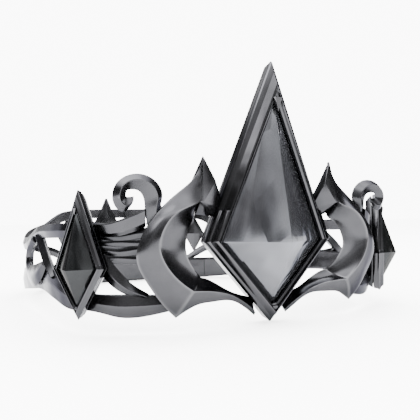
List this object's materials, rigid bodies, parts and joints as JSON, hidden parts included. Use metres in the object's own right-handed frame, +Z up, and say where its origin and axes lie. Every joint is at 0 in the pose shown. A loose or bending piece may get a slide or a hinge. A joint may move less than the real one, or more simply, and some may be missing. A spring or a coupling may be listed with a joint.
{
  "type": "openwork crown",
  "caption": "Rigid openwork metal crown with tall kite-shaped set stone at the front, smaller ones at the corners, crescents, scrolls and a closed ring of bands that rests on the head.",
  "frame": {"origin": "middle of the head opening on the plane the crown stands on", "axes": "+Z up, -Y towards the tall front setting, +X to the wearer's left as seen from the front"},
  "size_m": [0.1684, 0.1883, 0.1069],
  "materials": {
    "dark_silver": "oxidised polished silver",
    "bright_edge": "polished silver worn bright on the settings",
    "smoky_stone": "faceted smoky quartz"
  },
  "bodies": {
    "root": {"back_lower_band": "dark_silver", "back_upper_band": "dark_silver", "front_back_plate": "dark_silver", "front_claws": "bright_edge", "front_cradle": "bright_edge", "front_frame": "bright_edge", "front_gem": "smoky_stone", "left_back_brace": "dark_silver", "left_back_diamond": "dark_silver", "left_back_spike": "dark_silver", "left_crescent": "dark_silver", "left_crescent_arm": "dark_silver", "left_crescent_horn": "dark_silver", "left_front_rail": "dark_silver", "left_s_brace": "dark_silver", "left_scroll": "dark_silver", "left_scroll_stem": "dark_silver", "left_short_brace": "dark_silver", "left_side_back_plate": "dark_silver", "left_side_claws": "bright_edge", "left_side_cradle": "bright_edge", "left_side_frame": "bright_edge", "left_side_gem": "smoky_stone", "left_side_leaf": "dark_silver", "left_side_lower_band": "dark_silver", "left_side_pad": "dark_silver", "left_side_scroll": "dark_silver", "left_side_upper_band": "dark_silver", "left_strand_1": "dark_silver", "left_strand_2": "dark_silver", "left_strand_3": "dark_silver", "left_strand_4": "dark_silver", "right_back_brace": "dark_silver", "right_back_diamond": "dark_silver", "right_back_spike": "dark_silver", "right_crescent": "dark_silver", "right_crescent_arm": "dark_silver", "right_crescent_horn": "dark_silver", "right_front_rail": "dark_silver", "right_s_brace": "dark_silver", "right_scroll": "dark_silver", "right_scroll_stem": "dark_silver", "right_short_brace": "dark_silver", "right_side_back_plate": "dark_silver", "right_side_claws": "bright_edge", "right_side_cradle": "bright_edge", "right_side_frame": "bright_edge", "right_side_gem": "smoky_stone", "right_side_leaf": "dark_silver", "right_side_lower_band": "dark_silver", "right_side_pad": "dark_silver", "right_side_scroll": "dark_silver", "right_side_upper_band": "dark_silver", "right_strand_1": "dark_silver", "right_strand_2": "dark_silver", "right_strand_3": "dark_silver", "right_strand_4": "dark_silver", "ring_rivets": "bright_edge"}
  },
  "joints": []
}
